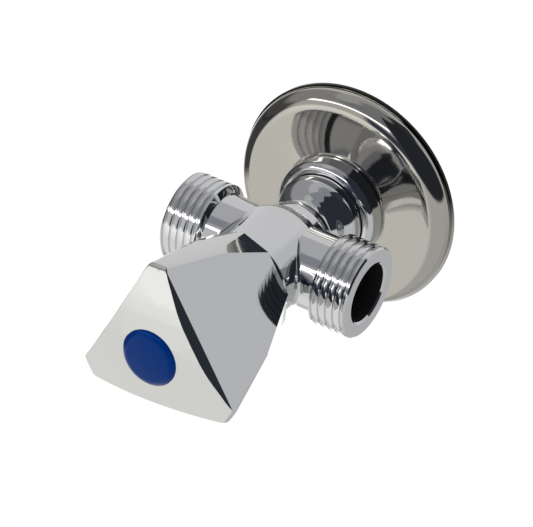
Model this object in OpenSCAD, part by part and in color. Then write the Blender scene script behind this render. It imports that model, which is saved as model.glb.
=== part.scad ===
// Two-way angle stop valve with a wall rosette and a three-cornered knob.
// Millimetres. The wall is the plane y = 0, +Z is up and the knob points along -Y.
// The inlet, spindle and knob share the Y axis, and the outlets point along +X and -X.
// Most pieces are drawn along a local z, the distance from the wall towards the knob.

/* [Threads] */
// Outside diameter of the half-inch pipe threads
thread_d = 20.955; // [20.9:0.005:21]
// Length of the threaded shank behind the wall
shank_depth = 14; // [10:0.5:20]

/* [Rosette] */
// Outside diameter of the rosette
rosette_d = 54.2; // [52:0.1:60]
// Height of the rosette's broad round rim
rosette_rim = 5.3; // [5:0.1:5.6]
// Distance from the wall to the front of the rosette's hub
rosette_hub = 6.2; // [5.8:0.1:6.8]
// Thickness of the rosette's sheet
rosette_sheet = 0.7; // [0.5:0.1:0.9]

/* [Body] */
// Diameter of the collar in front of the rosette
collar_d = 24.6; // [24:0.1:25.4]
// Diameter of the bulb between the collar and the waist
bulb_d = 20.4; // [19.8:0.1:20.8]
// Diameter of the waist
waist_d = 14.6; // [14.2:0.1:15.2]
// Diameter of the barrel that holds the headwork
barrel_d = 21.8; // [21.4:0.1:22.4]
// Distance from the wall to the barrel's front face
barrel_front = 44.4; // [44.2:0.1:44.6]
// Distance from the wall to the axis of the outlets
outlet_y = 31.1; // [30.8:0.1:31.4]
// Distance between the two outlet faces
outlet_span = 47.1; // [46:0.1:54]
// Diameter of the plain neck of each outlet
neck_d = 17.6; // [17:0.1:18.4]
// Length of the thread on each outlet
outlet_thread = 9.2; // [8:0.1:9.6]
// Diameter of the waterway
port_d = 13.6; // [12.6:0.1:14]

/* [Headwork] */
// Diameter of the hole in the seat
seat_bore_d = 8.4; // [7.8:0.1:9]
// Lift of the plunger from closed to open
lift = 4; // [3:0.1:4]
// Width across the flats of the bonnet
bonnet_af = 15; // [14:0.1:15.6]
// Radial clearance of the turning and sliding pieces
running_gap = 0.04; // [0.03:0.01:0.08]

/* [Knob] */
// Gap between the barrel's front face and the knob's rear rim
knob_gap = 0.4; // [0.3:0.1:1]
// Length of the knob from its rear rim to the straight front edges of its three sides
knob_length = 32; // [31:0.1:33]
// Height of the domed front's middle above those edges
knob_rise = 3.5; // [3.3:0.1:3.8]
// Distance from the axis to each side at its front edge
side_dist = 12; // [11.8:0.1:12.6]
// Distance from the axis to each blunt corner at the front edge
corner_dist = 20.9; // [20.2:0.1:21.6]
// Angle by which the corners draw in towards the rear
corner_taper = 14.9; // [14:0.1:15.4]
// Angle of the knob as it stands when closed, seen from the front
knob_turn = 4.8; // [0:0.1:30]
// Diameter of the index cap
cap_d = 13; // [12.4:0.1:13.6]

/* [Hidden] */
$fn = 96;
// Overlap of joined or cut shapes
eps = 0.01;
// Gap between pieces that only lie near each other
slack = 0.1;
// Gap round a ring, screw or plug in its seat
snug = 0.05;

thread_r = thread_d / 2;
thread_chamfer = 0.4;
thread_runout = 0.6;
shank_chamfer = 1;
shank_thread_front = 1;
shank_plain_r = thread_r - 0.5;
port_r = port_d / 2;
outlet_face = outlet_span / 2;
neck_r = neck_d / 2;
barrel_r = barrel_d / 2;
barrel_lip_r = barrel_r - 2;
barrel_round = 6;
barrel_round_z = outlet_y - 1;
collar_r = collar_d / 2;
collar_round = 2;
collar_back = rosette_hub + 0.1;
collar_front = collar_back + 5.1;
rim_round = 4.1;
rim_step = 0.5;
rim_round_r = rosette_d / 2 - rim_step - rim_round;
rim_round_z = rosette_rim - rim_round;
lip_h = 0.9;
seal_section = 0.8;
seal_z = rosette_hub - rosette_sheet - seal_section - snug;

// The bulb is a round bead in front of the collar, and the waist a round groove that it runs into
bulb_r = bulb_d / 2;
bulb_bead = 6.6;
bulb_z = collar_front + 1.5;
waist_r = waist_d / 2;
waist_groove = 4;
bead_to_groove = bulb_bead + waist_groove;
waist_z = bulb_z + sqrt(pow(bead_to_groove, 2) - pow(waist_r + bead_to_groove - bulb_r, 2));
blend_z = bulb_z + (waist_z - bulb_z) * bulb_bead / bead_to_groove;

// Each outlet's mouth is a little wider than the hole drilled through to the chamber
mouth_depth = 11.2;
drill_r = port_r - 0.6;

// The seat ring is screwed into the waist from the chamber side
seat_bore_r = seat_bore_d / 2;
seat_ring_r = 5.5;
seat_ring_back = waist_z - 1.8;
seat_flange = seat_ring_back + 4;
seat_recess_r = seat_ring_r + 0.7;
seat_top = seat_flange + 0.8;
seat_lip_r = 5;
seat_bevel = 0.4;
inlet_r = port_r - 0.3;
inlet_front = seat_ring_back - 1.5;
chamber_r = 8.2;
chamber_back = seat_flange + 0.2;
chamber_wide = chamber_back + 3.2;
bonnet_thread_r = 9;
bonnet_thread_back = outlet_y + port_r + 0.4;

// The plunger's head holds the seat washer in a shallow cup
washer_back = seat_top + slack;
washer_t = 2.4;
washer_r = 6;
cup_r = 6.9;
cup_back = washer_back + 1;
head_back = washer_back + washer_t;
head_front = head_back + 2;
stem_r = 4.5;
small_screw_r = 1.5;
small_screw_head_r = 2.8;
small_screw_head_t = 1.5;
small_screw_front = head_front + 1.3;
retaining_t = 0.6;
retaining_r = 3.6;
slot_w = 0.8;
slot_depth = 0.8;

// The plunger's piston slides in the bonnet's sleeve, and its hexagon keeps it from turning
piston_r = 5.96;
piston_back = head_front + 3.3;
piston_front = piston_back + 5.4;
plunger_groove_z = piston_back + 2;
plunger_groove_w = 2;
plunger_groove_r = 4.06;
plunger_ring_section = 0.9;
plunger_af = 8;
plunger_bore_back = small_screw_front + 1;
hex_socket = piston_front + lift + 0.2;

// The bonnet from its sleeve in the chamber to its nose
sleeve_r = 7.4;
sleeve_back = piston_back + 1.6;
gasket_t = 0.8;
flange_t = 1;
flange_r = 9.9;
flange_bore_r = flange_r + 0.2;
gasket_seat = barrel_front - flange_t - gasket_t;
flange_back = gasket_seat + gasket_t;
flange_front = flange_back + flange_t;
bonnet_hex_front = flange_front + 7.1;
bonnet_front = bonnet_hex_front + 3.5;
bonnet_nose_r = 5;
thrust_shoulder = flange_front + 4.6;

// The spindle turns without rising, between the thrust washer and the clip
shaft_r = 3.26;
drive_r = 2.46;
drive_back = plunger_bore_back + lift + 0.4;
thrust_t = 0.5;
thrust_gap = 0.02;
spindle_collar_r = 3.95;
spindle_collar_t = 1.2;
spindle_collar_front = thrust_shoulder - thrust_t;
spindle_collar_back = spindle_collar_front - spindle_collar_t;
plunger_front = spindle_collar_back - lift - 0.3;
groove_z = [thrust_shoulder + 1, thrust_shoulder + 3.4];
groove_w = 1.6;
groove_r = 1.75;
ring_section = 0.72;
clip_z = bonnet_front + 0.15;
clip_t = 0.6;
clip_groove_r = 2.7;
clip_outer_r = 4.4;
clip_mouth = 3.2;
cavity_front = clip_z + clip_t + 0.25;
spline_front = cavity_front + 9.6;
spline_teeth = 16;
spline_tip_r = 3.25;
spline_root_r = 2.95;
screw_r = 1.95;
screw_hole_back = cavity_front + 1.5;

// The knob's sides run nearly parallel to the axis, and six rear flats blend them to a round
knob_rear = barrel_front + knob_gap;
knob_edge = knob_rear + knob_length;
knob_front = knob_edge + knob_rise;
side_taper = 2.5;
front_lean = 16;
rear_flat_turn = 24;
rear_flat_dist = 11.55;
rear_flat_taper = 17.5;
corner_round = 1.3;
dome_r = 62;
cavity_r = 9.3;
insert_af = 11;
insert_front = spline_front + 0.4;
web_front = insert_front + 2.5;
cap_bore_r = 5;
cap_r = cap_d / 2;
cap_recess = knob_front - 1.1;
cap_rim = knob_front - 0.1;
cap_rise = 0.8;
cap_plug = 5;
cap_plug_wall = 1.1;
lock_washer_r = 4;
lock_washer_t = 0.78;
lock_washer_gap = 0.6;
knob_screw_head_r = 3.8;
knob_screw_head_t = 2.3;

// A closed star outline for splines
function spline_outline(tip, root, teeth) = [
    for (i = [0:teeth - 1], side = [0, 1, 2, 3])
        let (
            turn = 360 / teeth * (i + [-0.3, -0.17, 0.17, 0.3][side]),
            r = (side == 1 || side == 2) ? tip : root
        )
        [r * cos(turn), r * sin(turn)]
];

// Puts a shape drawn along +z onto the inlet axis, with its front towards -Y
module from_wall(z = 0) {
    rotate([90, 0, 0])
        translate([0, 0, z])
            children();
}

// A round bar from one distance to another
module bar(r, from, to) {
    translate([0, 0, from])
        cylinder(r = r, h = to - from);
}

// A round tube from one distance to another
module tube(outer, inner, from, to) {
    difference() {
        bar(outer, from, to);
        bar(inner, from - 1, to + 1);
    }
}

// A hexagonal bar, given by the width across its flats
module hex_bar(af, from, to) {
    translate([0, 0, from])
        cylinder(r = af / sqrt(3), h = to - from, $fn = 6);
}

// A rubber ring with a round section
module o_ring(middle_r, section_r, z) {
    translate([0, 0, z])
        rotate_extrude()
            translate([middle_r, 0])
                circle(r = section_r, $fn = 24);
}

// A round bar with a chamfered end towards +z
module chamfered_bar(r, from, to, chamfer) {
    rotate_extrude()
        polygon([[0, from], [r, from], [r, to - chamfer], [r - chamfer, to], [0, to]]);
}

// Half outline of the collar with its round front edge
module collar_outline() {
    translate([0, collar_back])
        square([collar_r, collar_front - collar_back - collar_round]);
    translate([0, collar_back])
        square([collar_r - collar_round, collar_front - collar_back]);
    translate([collar_r - collar_round, collar_front - collar_round])
        circle(r = collar_round);
}

// Half outline of the barrel with its long round shoulder and the lip behind it
module barrel_outline() {
    translate([0, barrel_round_z])
        square([barrel_r, barrel_front - barrel_round_z]);
    translate([0, blend_z])
        square([barrel_lip_r, barrel_front - blend_z]);
    intersection() {
        translate([barrel_r - barrel_round, barrel_round_z])
            circle(r = barrel_round);
        translate([0, blend_z])
            square([barrel_r, barrel_front - blend_z]);
    }
}

// Half outline of the bulb and the waist behind the barrel
module neck_outline() {
    difference() {
        union() {
            intersection() {
                translate([bulb_r - bulb_bead, bulb_z])
                    circle(r = bulb_bead);
                translate([0, collar_front - 1])
                    square([collar_r, blend_z - collar_front + 2]);
            }
            barrel_outline();
        }
        translate([waist_r + waist_groove, waist_z])
            circle(r = waist_groove);
    }
}

// One outlet arm along +x, with its neck, thread and end chamfer
module outlet_arm() {
    thread_start = outlet_face - outlet_thread;
    translate([0, -outlet_y, 0])
        rotate([0, 90, 0]) {
            bar(neck_r, 2, thread_start + 1);
            rotate_extrude()
                polygon([
                    [0, thread_start - thread_runout],
                    [neck_r - eps, thread_start - thread_runout],
                    [thread_r, thread_start + thread_runout],
                    [thread_r, outlet_face - thread_chamfer],
                    [thread_r - thread_chamfer, outlet_face],
                    [0, outlet_face]
                ]);
        }
}

// The waterway of one outlet, with its wider mouth and a lead-in
module outlet_port() {
    translate([0, -outlet_y, 0])
        rotate([0, 90, 0]) {
            bar(drill_r, 2, outlet_face);
            bar(port_r, outlet_face - mouth_depth, outlet_face + 1);
            translate([0, 0, outlet_face - thread_chamfer])
                cylinder(r1 = port_r, r2 = port_r + thread_chamfer + eps, h = thread_chamfer + eps);
        }
}

// Inlet bore, seat thread, chamber, headwork thread and flange seat on the main axis
module body_bores() {
    bar(inlet_r, -shank_depth - 1, inlet_front);
    translate([0, 0, inlet_front - eps])
        cylinder(r1 = inlet_r, r2 = seat_bore_r, h = seat_ring_back - inlet_front + 2 * eps);
    bar(seat_ring_r, seat_ring_back, seat_flange);
    bar(seat_recess_r, seat_flange - eps, chamber_back);
    translate([0, 0, chamber_back - eps])
        cylinder(r1 = seat_recess_r, r2 = chamber_r, h = chamber_wide - chamber_back + eps);
    bar(chamber_r, chamber_wide - eps, bonnet_thread_back + eps);
    bar(bonnet_thread_r, bonnet_thread_back, gasket_seat + eps);
    bar(flange_bore_r, gasket_seat, barrel_front + 1);
}

// The shank, threaded up to the wall and plain in front of it
module shank() {
    rotate_extrude()
        polygon([
            [0, -shank_depth],
            [thread_r - shank_chamfer, -shank_depth],
            [thread_r, shank_chamfer - shank_depth],
            [thread_r, shank_thread_front],
            [shank_plain_r, shank_thread_front],
            [shank_plain_r, collar_back + 1],
            [0, collar_back + 1]
        ]);
}

module valve_body() {
    color("silver")
        difference() {
            union() {
                from_wall() {
                    rotate_extrude() {
                        collar_outline();
                        neck_outline();
                    }
                    shank();
                }
                outlet_arm();
                mirror([1, 0, 0])
                    outlet_arm();
            }
            from_wall()
                body_bores();
            outlet_port();
            mirror([1, 0, 0])
                outlet_port();
        }
}

module valve_seat() {
    color("goldenrod")
        from_wall()
            difference() {
                union() {
                    bar(seat_ring_r - 0.02, seat_ring_back + 0.02, seat_flange + 0.02);
                    bar(seat_recess_r - slack, seat_flange + 0.02, seat_top - seat_bevel);
                    translate([0, 0, seat_top - seat_bevel])
                        cylinder(r1 = seat_lip_r + 0.3, r2 = seat_lip_r, h = seat_bevel);
                }
                bar(seat_bore_r, seat_ring_back - 1, seat_top + 1);
            }
}

// Half outline of the rosette with its lip, round rim and nearly flat plate, offset inwards by t
module rosette_outline(t) {
    hub_r = collar_r + 0.6;
    translate([0, -1])
        square([rosette_d / 2 - t, lip_h + 1 - t]);
    translate([0, -1])
        square([rim_round_r + rim_round - t, rim_round_z + 1]);
    translate([rim_round_r, rim_round_z])
        circle(r = rim_round - t);
    polygon([
        [0, -1],
        [rim_round_r, -1],
        [rim_round_r, rosette_rim - t],
        [hub_r, rosette_hub - t],
        [0, rosette_hub - t]
    ]);
}

module wall_rosette() {
    color("lightgray")
        from_wall()
            difference() {
                rotate_extrude()
                    intersection() {
                        difference() {
                            rosette_outline(0);
                            rosette_outline(rosette_sheet);
                        }
                        square([rosette_d, rosette_hub]);
                    }
                bar(thread_r + 0.3, -1, rosette_hub + 1);
            }
}

module rosette_seal() {
    color("dimgray")
        from_wall()
            o_ring(shank_plain_r + seal_section + snug, seal_section, seal_z);
}

module bonnet() {
    color("goldenrod")
        from_wall()
            difference() {
                union() {
                    bar(sleeve_r, sleeve_back, bonnet_thread_back + 0.5);
                    bar(bonnet_thread_r - 0.03, bonnet_thread_back + 0.2, flange_back);
                    bar(flange_r, flange_back, flange_front);
                    hex_bar(bonnet_af, flange_front - eps, bonnet_hex_front);
                    chamfered_bar(bonnet_nose_r, bonnet_hex_front - eps, bonnet_front, 0.4);
                }
                bar(piston_r + running_gap, sleeve_back - 1, hex_socket);
                hex_bar(plunger_af + 0.2, hex_socket - eps, thrust_shoulder);
                bar(shaft_r + running_gap, thrust_shoulder - eps, bonnet_front + 1);
            }
}

module bonnet_gasket() {
    color("firebrick")
        from_wall()
            tube(flange_r - 0.1, bonnet_thread_r, gasket_seat, flange_back);
}

module spindle() {
    color("goldenrod")
        from_wall()
            difference() {
                union() {
                    bar(drive_r, drive_back, spindle_collar_back + eps);
                    bar(spindle_collar_r, spindle_collar_back, spindle_collar_front);
                    bar(shaft_r, spindle_collar_front - eps, cavity_front);
                    translate([0, 0, cavity_front - eps])
                        linear_extrude(spline_front - cavity_front)
                            polygon(spline_outline(spline_tip_r, spline_root_r, spline_teeth));
                }
                for (z = groove_z)
                    tube(shaft_r + 1, groove_r, z, z + groove_w);
                tube(shaft_r + 1, clip_groove_r, clip_z - snug, clip_z + clip_t + snug);
                bar(screw_r + snug, screw_hole_back, spline_front + 1);
            }
}

module spindle_o_rings() {
    color("dimgray")
        from_wall()
            for (z = groove_z)
                o_ring(groove_r + ring_section + 0.03, ring_section, z + groove_w / 2);
}

module thrust_washer() {
    color("white")
        from_wall()
            tube(spindle_collar_r, shaft_r + running_gap, spindle_collar_front, thrust_shoulder - thrust_gap);
}

module spindle_clip() {
    color("gray")
        from_wall()
            difference() {
                tube(clip_outer_r, clip_groove_r + 0.02, clip_z, clip_z + clip_t);
                translate([-clip_mouth / 2, 0, clip_z - 1])
                    cube([clip_mouth, clip_outer_r + 1, clip_t + 2]);
            }
}

module plunger() {
    color("goldenrod")
        from_wall()
            difference() {
                union() {
                    bar(cup_r, cup_back, head_front);
                    bar(stem_r, head_front - eps, piston_back + eps);
                    bar(piston_r, piston_back, piston_front);
                    hex_bar(plunger_af, piston_front - eps, plunger_front);
                }
                bar(washer_r + snug, cup_back - 1, head_back);
                bar(small_screw_r + snug, head_back - eps, small_screw_front + slack);
                bar(drive_r + running_gap, plunger_bore_back, plunger_front + 1);
                tube(piston_r + 1, plunger_groove_r, plunger_groove_z, plunger_groove_z + plunger_groove_w);
            }
}

module plunger_o_ring() {
    color("dimgray")
        from_wall()
            o_ring(plunger_groove_r + plunger_ring_section + snug, plunger_ring_section,
                   plunger_groove_z + plunger_groove_w / 2);
}

module seat_washer() {
    color("dimgray")
        from_wall()
            tube(washer_r, small_screw_r + 0.1, washer_back, head_back);
}

module retaining_washer() {
    color("gray")
        from_wall()
            tube(retaining_r, small_screw_r + 0.1, washer_back - retaining_t, washer_back);
}

module washer_screw() {
    head_seat = washer_back - retaining_t;
    head_end = head_seat - small_screw_head_t;
    color("gray")
        from_wall()
            difference() {
                union() {
                    bar(small_screw_head_r, head_end, head_seat);
                    bar(small_screw_r, head_seat - eps, small_screw_front);
                }
                translate([-small_screw_head_r - 1, -slot_w / 2, head_end - 1])
                    cube([2 * small_screw_head_r + 2, slot_w, slot_depth + 1]);
            }
}

// Everything within a plane that faces the given turn, leaning in by a taper towards the rear
module inside_plane(turn, dist, z, taper) {
    reach = 120;
    rotate([0, 0, turn])
        translate([dist, 0, z])
            rotate([0, taper, 0])
                translate([-reach, -reach / 2, -reach / 2])
                    cube([reach, reach, reach]);
}

// Positions of the rounded corner edges of the knob at one distance from the wall
function corner_at(z, turn, mirrored) =
    let (
        corner = corner_dist - (knob_edge - z) * tan(corner_taper) - corner_round,
        side = side_dist - (knob_edge - z) * tan(side_taper) - corner_round,
        along = (corner - side * cos(60)) / sin(60),
        x = side * cos(30) - along * sin(30)
    )
    [corner * cos(turn) - mirrored * x * sin(turn), corner * sin(turn) + mirrored * x * cos(turn)];

// The three-cornered prism with blunt round corners, narrower at the rear
module knob_prism() {
    prism_front = knob_front + 0.5;
    hull()
        for (turn = [90:120:330], side = [-1, 1], z = [knob_rear, prism_front])
            translate([corner_at(z, turn, side)[0], corner_at(z, turn, side)[1], z])
                cylinder(r = corner_round, h = eps, $fn = 32);
}

// The knob's outside: prism, leaning front bands, dome and six rear flats
module knob_outside() {
    intersection() {
        knob_prism();
        for_sides()
            inside_plane(0, side_dist, knob_edge, -front_lean);
        translate([0, 0, knob_front - dome_r])
            sphere(r = dome_r, $fn = 180);
        rear_flats();
    }
}

// Common space of one shape repeated for the three sides
module for_sides() {
    intersection() {
        rotate([0, 0, 30])
            children();
        rotate([0, 0, 150])
            children();
        rotate([0, 0, 270])
            children();
    }
}

// The two rear flats beside each corner
module rear_flats() {
    for_sides()
        intersection() {
            inside_plane(60 - rear_flat_turn, rear_flat_dist, knob_rear, rear_flat_taper);
            inside_plane(60 + rear_flat_turn, rear_flat_dist, knob_rear, rear_flat_taper);
        }
}

module knob() {
    color("gainsboro")
        from_wall()
            difference() {
                rotate([0, 0, knob_turn])
                    knob_outside();
                bar(cavity_r, knob_rear - 1, cavity_front);
                rotate([0, 0, knob_turn])
                    hex_bar(insert_af, cavity_front - eps, insert_front);
                bar(screw_r + 0.2, insert_front - eps, web_front + eps);
                bar(cap_bore_r, web_front, cap_recess + eps);
                bar(cap_r + snug, cap_recess, knob_front + 1);
            }
}

module knob_insert() {
    color("white")
        from_wall()
            difference() {
                rotate([0, 0, knob_turn])
                    hex_bar(insert_af - slack, cavity_front + 0.4, insert_front);
                translate([0, 0, cavity_front])
                    linear_extrude(spline_front - cavity_front + slack)
                        polygon(spline_outline(spline_tip_r + snug, spline_root_r + snug, spline_teeth));
                bar(screw_r + 0.2, spline_front, insert_front + 1);
            }
}

module knob_screw() {
    head_seat = web_front + lock_washer_t + 0.02;
    color("gray")
        from_wall()
            difference() {
                union() {
                    bar(screw_r, screw_hole_back + 1, head_seat + eps);
                    chamfered_bar(knob_screw_head_r, head_seat, head_seat + knob_screw_head_t, 0.6);
                }
                for (turn = [0, 90])
                    rotate([0, 0, turn])
                        translate([-knob_screw_head_r / 2, -slot_w / 2, head_seat + 1])
                            cube([knob_screw_head_r, slot_w, knob_screw_head_t]);
            }
}

module lock_washer() {
    color("gray")
        from_wall()
            difference() {
                tube(lock_washer_r, screw_r + 0.15, web_front, web_front + lock_washer_t);
                translate([0, -lock_washer_gap / 2, web_front - 1])
                    cube([lock_washer_r + 1, lock_washer_gap, lock_washer_t + 2]);
            }
}

module index_cap() {
    cap_ball = (cap_r * cap_r + cap_rise * cap_rise) / (2 * cap_rise);
    color("navy")
        from_wall() {
            bar(cap_r, cap_recess, cap_rim);
            intersection() {
                translate([0, 0, cap_rim + cap_rise - cap_ball])
                    sphere(r = cap_ball, $fn = 120);
                bar(cap_r, cap_rim - eps, cap_rim + 2);
            }
            tube(cap_bore_r - snug, cap_bore_r - cap_plug_wall, cap_recess - cap_plug, cap_recess + eps);
        }
}

valve_body();
valve_seat();
wall_rosette();
rosette_seal();
bonnet();
bonnet_gasket();
spindle();
spindle_o_rings();
thrust_washer();
spindle_clip();
plunger();
plunger_o_ring();
seat_washer();
retaining_washer();
washer_screw();
knob();
knob_insert();
knob_screw();
lock_washer();
index_cap();
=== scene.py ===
"""Looks of the two-way angle stop valve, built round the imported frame.

The frame is in metres, with the wall at y = 0, +Z up and the knob towards -Y. Sizes in the classes
below are millimetres. Turned pieces are drawn along a local z, the distance from the wall.
"""

import logging
import math
from dataclasses import dataclass, field
from enum import Enum
from itertools import pairwise

import bpy
from mathutils import Matrix, Vector


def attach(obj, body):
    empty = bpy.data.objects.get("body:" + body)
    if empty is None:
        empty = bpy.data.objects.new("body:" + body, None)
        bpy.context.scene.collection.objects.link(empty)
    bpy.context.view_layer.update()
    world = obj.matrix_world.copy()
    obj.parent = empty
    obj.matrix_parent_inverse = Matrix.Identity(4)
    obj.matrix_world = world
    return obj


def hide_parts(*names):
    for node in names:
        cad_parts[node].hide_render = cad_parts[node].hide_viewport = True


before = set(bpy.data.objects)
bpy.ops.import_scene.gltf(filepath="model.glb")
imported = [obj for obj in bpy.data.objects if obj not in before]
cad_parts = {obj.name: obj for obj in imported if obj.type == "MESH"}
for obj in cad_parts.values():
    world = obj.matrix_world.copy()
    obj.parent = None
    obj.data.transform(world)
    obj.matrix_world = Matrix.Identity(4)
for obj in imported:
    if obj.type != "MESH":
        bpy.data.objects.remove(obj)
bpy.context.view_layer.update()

MM = 0.001
PHOTO_WIDTH = 533

Point = tuple[float, float]
Triple = tuple[float, float, float]
Piece = bpy.types.Object
Socket = bpy.types.NodeSocket
Value = Socket | float | tuple
Inputs = dict[str | int, Value]
Outputs = bpy.types.bpy_prop_collection

log = logging.getLogger("valve")


class Part(Enum):
    """Bodies of the frame that a piece can ride on."""

    FIXED = "body"
    HANDLE = "handle"


class Slot(Enum):
    """Material slots of the record."""

    CHROME_BODY = "chrome_body"
    CHROME_KNOB = "chrome_knob"
    ROSETTE_STEEL = "rosette_steel"
    BLUE_CAP = "blue_cap"


# Outlines


def arc(centre: Point, radius: float, start: float, end: float, steps: int) -> list[Point]:
    """Gives an arc of an outline about (radius, z), by angles in degrees, 0 straight outwards."""
    angles = [math.radians(start + (end - start) * i / steps) for i in range(steps + 1)]
    return [(centre[0] + radius * math.cos(a), centre[1] + radius * math.sin(a)) for a in angles]


def guarded(outline: list[Point], guard: float = 0.06) -> list[Point]:
    """Adds a point near both ends of each long stretch, so that shading stays true beside a round.

    Args:
        outline: Points of the outline.
        guard: Distance of the added points from the ends.

    Returns:
        The outline with its guard points.
    """
    result = [outline[0]]
    for start, end in pairwise(outline):
        length = math.dist(start, end)
        if length > 6 * guard:
            for share in (guard / length, 1 - guard / length):
                result.append(tuple(a + (b - a) * share for a, b in zip(start, end)))
        result.append(end)
    return result


# Work at the bench


class Operation(Enum):
    """What a tool does to the piece that it meets."""

    JOIN = "UNION"
    CUT = "DIFFERENCE"
    TRIM = "INTERSECT"


def nothing_picked() -> None:
    """Leaves no object selected, before a primitive is added."""
    if bpy.context.object and bpy.context.object.mode != "OBJECT":
        bpy.ops.object.mode_set(mode="OBJECT")
    bpy.ops.object.select_all(action="DESELECT")


def pick(obj: Piece) -> None:
    """Makes one object the only selected and the active one.

    Args:
        obj: The object.
    """
    nothing_picked()
    obj.select_set(True)
    bpy.context.view_layer.objects.active = obj


def opened(obj: Piece) -> None:
    """Opens a mesh in edit mode with all of it selected.

    Args:
        obj: The mesh object.
    """
    pick(obj)
    bpy.ops.object.mode_set(mode="EDIT")
    bpy.ops.mesh.select_all(action="SELECT")


def faced_outwards(obj: Piece) -> Piece:
    """Turns the faces of a closed piece outwards.

    Args:
        obj: The piece.

    Returns:
        The same piece.
    """
    opened(obj)
    bpy.ops.mesh.normals_make_consistent(inside=False)
    bpy.ops.object.mode_set(mode="OBJECT")
    return obj


def turned(name: str, outline: list[Point], segments: int = 192, hollow: bool = False) -> Piece:
    """Turns a piece along z as on a lathe, by extruding and scaling a ring from point to point.

    Args:
        name: Name of the new object.
        outline: Points as (radius, z) in millimetres, none on the axis.
        segments: Number of segments round the axis.
        hollow: Joins the last ring to the first, as for a tube. Otherwise both ends are flat.

    Returns:
        The new object, closed and with its faces outwards.
    """
    nothing_picked()
    radius, z = outline[0]
    place = (0, 0, z * MM)
    bpy.ops.mesh.primitive_circle_add(vertices=segments, radius=radius * MM, location=place)
    obj = bpy.context.object
    obj.name = name
    bpy.ops.object.transform_apply()
    opened(obj)
    for (r_from, z_from), (r_to, z_to) in pairwise(outline):
        step = {"value": (0, 0, (z_to - z_from) * MM)}
        bpy.ops.mesh.extrude_region_move(TRANSFORM_OT_translate=step)
        scale = r_to / r_from
        bpy.ops.transform.resize(value=(scale, scale, 1), center_override=(0, 0, z_to * MM))
    bpy.ops.mesh.select_all(action="DESELECT")
    bpy.ops.mesh.select_mode(type="EDGE")
    bpy.ops.mesh.select_non_manifold()
    if hollow:
        bpy.ops.mesh.bridge_edge_loops()
    else:
        bpy.ops.mesh.fill_holes(sides=0)
    return faced_outwards(obj)


def placed(obj: Piece, matrix: Matrix) -> Piece:
    """Turns and moves an object and puts its place into its mesh.

    Args:
        obj: The object, at the origin.
        matrix: Where it goes, in metres.

    Returns:
        The same object, at the origin again.
    """
    pick(obj)
    obj.matrix_world = matrix
    bpy.ops.object.transform_apply()
    return obj


def from_wall(obj: Piece) -> Piece:
    """Puts a piece drawn along z onto the inlet axis, its front towards -Y."""
    return placed(obj, Matrix.Rotation(math.pi / 2, 4, "X"))


def modified(obj: Piece, kind: str, **options: object) -> None:
    """Adds a modifier to a piece and applies it.

    Args:
        obj: The piece.
        kind: Type of the modifier.
        options: Its options.
    """
    pick(obj)
    bpy.ops.object.modifier_add(type=kind)
    modifier = obj.modifiers[-1]
    for name, option in options.items():
        setattr(modifier, name, option)
    bpy.ops.object.modifier_apply(modifier=modifier.name)


def shape(obj: Piece, tool: Piece, operation: Operation) -> None:
    """Joins, cuts or trims a closed piece with a tool, which is used up."""
    modified(obj, "BOOLEAN", operation=operation.value, solver="MANIFOLD", object=tool)
    bpy.data.objects.remove(tool)


def plane_cut(obj: Piece, place: Vector, normal: Vector) -> None:
    """Cuts away what lies on the normal's side of a plane and closes the cut.

    Args:
        obj: A closed piece.
        place: A point of the plane in metres.
        normal: Direction of the side that goes.
    """
    opened(obj)
    bpy.ops.mesh.bisect(
        plane_co=place, plane_no=normal, use_fill=True, clear_outer=True, threshold=1e-7
    )
    bpy.ops.object.mode_set(mode="OBJECT")


def dress(obj: Piece, *materials: bpy.types.Material) -> None:
    """Gives an object its materials.

    Args:
        obj: The object.
        materials: The materials in the order of its slots.
    """
    obj.data.materials.clear()
    for material in materials:
        obj.data.materials.append(material)


# Finishes


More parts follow.
